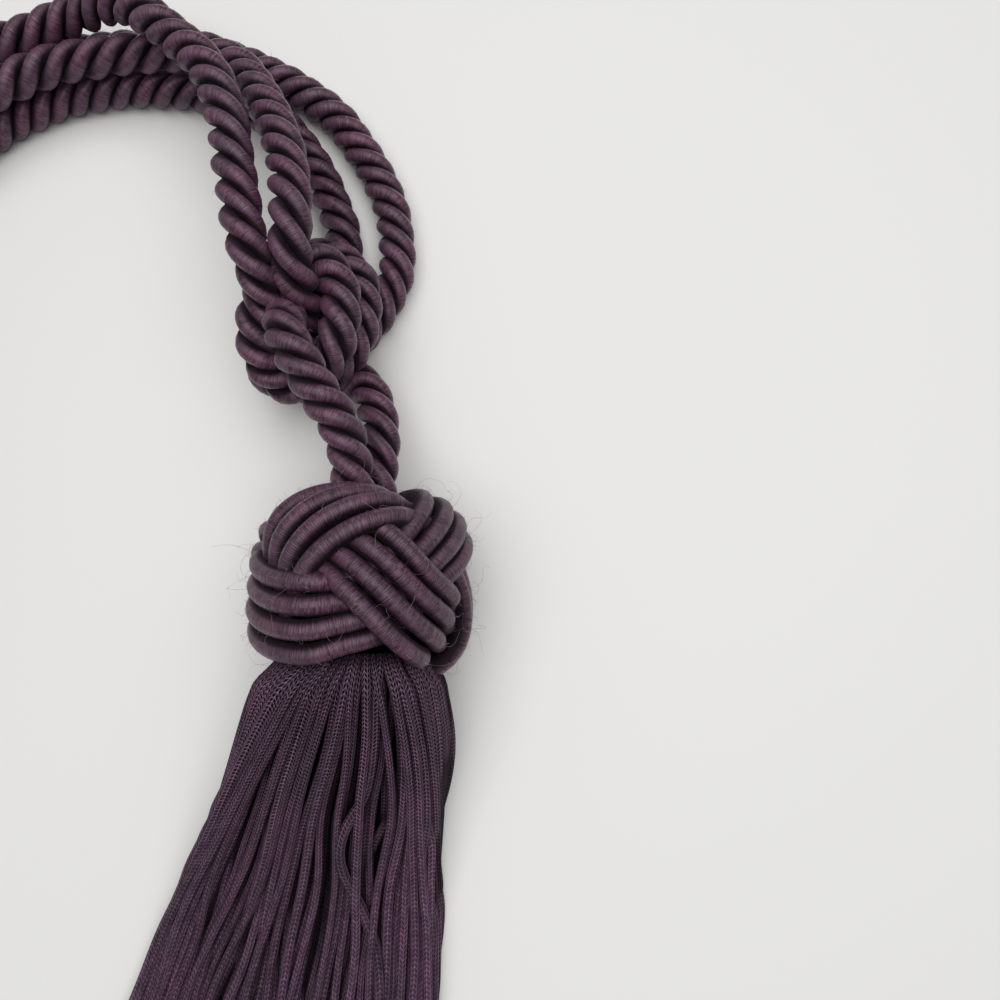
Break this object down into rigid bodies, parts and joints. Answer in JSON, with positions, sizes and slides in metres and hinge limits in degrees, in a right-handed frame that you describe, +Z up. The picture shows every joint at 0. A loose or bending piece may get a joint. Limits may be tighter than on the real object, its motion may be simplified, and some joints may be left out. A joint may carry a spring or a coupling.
{
  "type": "curtain tieback tassel",
  "caption": "Curtain tieback of twisted rope tied in a bulky knot, with long loops, a woven ball head and a skirt of hanging cords, laid down flat.",
  "frame": {"origin": "the flat resting spot under the ball head, on the surface that the tieback lies on", "axes": "+Z up from the surface, +Y along the head's axis towards the knot and the loops, -Y along the skirt, +X to the right seen from above with the skirt towards the viewer"},
  "size_m": [0.234, 0.3776, 0.0591],
  "materials": {
    "rope_yarn": "satin yarn, each strand wrapped with fine thread, aubergine",
    "rope_yarn_shaded": "satin yarn, each strand wrapped with fine thread, deep aubergine",
    "knot_yarn": "satin yarn, each strand wrapped with fine thread, aubergine",
    "head_cord": "thick cord wrapped with satin thread, aubergine",
    "skirt_cord": "fine knitted cord with a soft sheen, dark aubergine"
  },
  "bodies": {
    "root": {"leg_front": "rope_yarn", "leg_back": "rope_yarn_shaded", "knot": "knot_yarn", "loop_lower": "rope_yarn_shaded", "loop_upper": "rope_yarn", "head": "head_cord", "skirt": "skirt_cord"}
  },
  "joints": []
}
